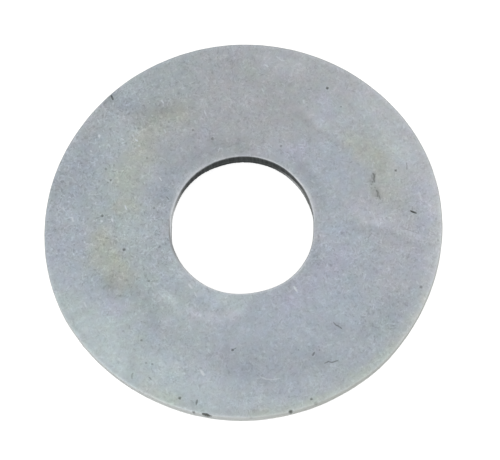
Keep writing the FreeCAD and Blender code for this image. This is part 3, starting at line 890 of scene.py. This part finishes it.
hgt = t.math("MULTIPLY", grain, 0.35)
hgt = t.math("ADD", hgt, t.math("MULTIPLY", light_curl, 0.35))
hgt = t.math("SUBTRACT", hgt, t.math("MULTIPLY", dark_curl, 0.35))
hgt = t.math("ADD", hgt, t.math("MULTIPLY", t.math("SUBTRACT", fleck, speck), 0.25))
hgt = t.math("ADD", hgt, t.math("MULTIPLY", mottle, 0.5))
wall_any = t.math("ADD", outer_a, bore_a, clamp=True)
hgt = t.math("ADD", hgt, t.math("MULTIPLY", t.math("MULTIPLY", drag, wall_any), 0.6))
bump = t.add("ShaderNodeBump")
bump.inputs["Strength"].default_value = 0.9
bump.inputs["Distance"].default_value = 0.000016
t.put(bump.inputs["Height"], hgt)

bsdf = t.add("ShaderNodeBsdfPrincipled")
t.put(bsdf.inputs["Base Color"], col)
t.put(bsdf.inputs["Roughness"], rough)
t.put(bsdf.inputs["Normal"], bump.outputs[0])
bsdf.inputs["Metallic"].default_value = 0.9
outn = t.add("ShaderNodeOutputMaterial")
t.t.links.new(bsdf.outputs[0], outn.inputs[0])
me.materials.append(mat)

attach(washer, "root")
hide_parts("flat_washer")

# ------------------------------------------------------------------ stage: a plain pale floor
# It is left open under the washer, where it can't be seen, so that the lower face has light when it is looked at from below.
fm = bpy.data.meshes.new("floor")
S = 3.0
FZ = -0.00003
ROUND = 128
turn = [(math.cos(2 * math.pi * k / ROUND), math.sin(2 * math.pi * k / ROUND)) for k in range(ROUND)]
fm.from_pydata([(d * c, d * n, FZ) for d in ((RI + 0.35) * MM, (RO - 0.35) * MM, S) for c, n in turn], [],
               [tuple(range(ROUND))] + [(ROUND + k, 2 * ROUND + k, 2 * ROUND + (k + 1) % ROUND, ROUND + (k + 1) % ROUND) for k in range(ROUND)])
floor = bpy.data.objects.new("floor", fm)
bpy.context.scene.collection.objects.link(floor)
fmat = bpy.data.materials.new("pale_floor")
fmat.use_nodes = True
f = Tree(fmat.node_tree)
diff = f.add("ShaderNodeBsdfDiffuse")
diff.inputs["Color"].default_value = (0.8, 0.8, 0.8, 1.0)
glow = f.add("ShaderNodeEmission")
glow.inputs["Color"].default_value = (1, 1, 1, 1)
path = f.add("ShaderNodeLightPath")
f.put(glow.inputs["Strength"], f.math("MULTIPLY", path.outputs["Is Camera Ray"], 0.72))
both = f.add("ShaderNodeAddShader")
f.t.links.new(diff.outputs[0], both.inputs[0])
f.t.links.new(glow.outputs[0], both.inputs[1])
see = f.add("ShaderNodeMixShader")
back = f.add("ShaderNodeNewGeometry")
clear = f.add("ShaderNodeBsdfTransparent")
f.t.links.new(back.outputs["Backfacing"], see.inputs[0])
f.t.links.new(both.outputs[0], see.inputs[1])
f.t.links.new(clear.outputs[0], see.inputs[2])
fo = f.add("ShaderNodeOutputMaterial")
f.t.links.new(see.outputs[0], fo.inputs[0])
fm.materials.append(fmat)

# ------------------------------------------------------------------ soft light all round, a little brighter low down
scene = bpy.context.scene
world = bpy.data.worlds.new("studio")
scene.world = world
world.use_nodes = True
w = Tree(world.node_tree)
gen = w.add("ShaderNodeTexCoord").outputs["Generated"]
sep = w.add("ShaderNodeSeparateXYZ")
w.put(sep.inputs[0], gen)
zc = sep.outputs["Z"]
xc, yc = sep.outputs["X"], sep.outputs["Y"]
over = w.ramp(zc, 0.15, 0.85, 0.815, 0.604)
side = w.math("MULTIPLY", w.ramp(xc, 0.5, 0.98), w.ramp(w.math("ABSOLUTE", zc), 0.45, 0.05))
soft = w.math("ADD", over, w.math("MULTIPLY", side, 0.30))
front = w.math("ADD", w.math("MULTIPLY", xc, -0.62), w.math("MULTIPLY", yc, -0.62))
box_l = w.math("MULTIPLY", w.ramp(front, 0.55, 0.85), w.ramp(w.math("ABSOLUTE", w.math("SUBTRACT", zc, 0.40)), 0.35, 0.10))
soft = w.math("ADD", soft, w.math("MULTIPLY", box_l, 0.44))
lp = w.add("ShaderNodeLightPath")
strength = w.math("ADD", w.math("MULTIPLY", w.math("SUBTRACT", 1.0, lp.outputs["Is Camera Ray"]), soft), w.math("MULTIPLY", lp.outputs["Is Camera Ray"], 1.15))
bg = w.add("ShaderNodeBackground")
bg.inputs["Color"].default_value = (1.0, 1.0, 1.0, 1.0)
w.put(bg.inputs["Strength"], strength)
wo = w.add("ShaderNodeOutputWorld")
w.t.links.new(bg.outputs[0], wo.inputs[0])

# ------------------------------------------------------------------ camera
cam_data = bpy.data.cameras.new("camera")
cam_data.sensor_fit = "HORIZONTAL"
cam_data.sensor_width = 36.0
cam_data.lens = LENS
cam_data.clip_start = 0.001
cam_data.clip_end = 50.0
cam = bpy.data.objects.new("camera", cam_data)
scene.collection.objects.link(cam)
rot = Matrix((
    (right_img[0], up_img[0], n_view[0]),
    (right_img[1], up_img[1], n_view[1]),
    (right_img[2], up_img[2], n_view[2]),
)).to_4x4()
cam.matrix_world = Matrix.Translation(Vector(eye * MM)) @ rot
scene.camera = cam

scene.view_settings.view_transform = "Standard"
scene.view_settings.look = "None"

bpy.context.view_layer.update()
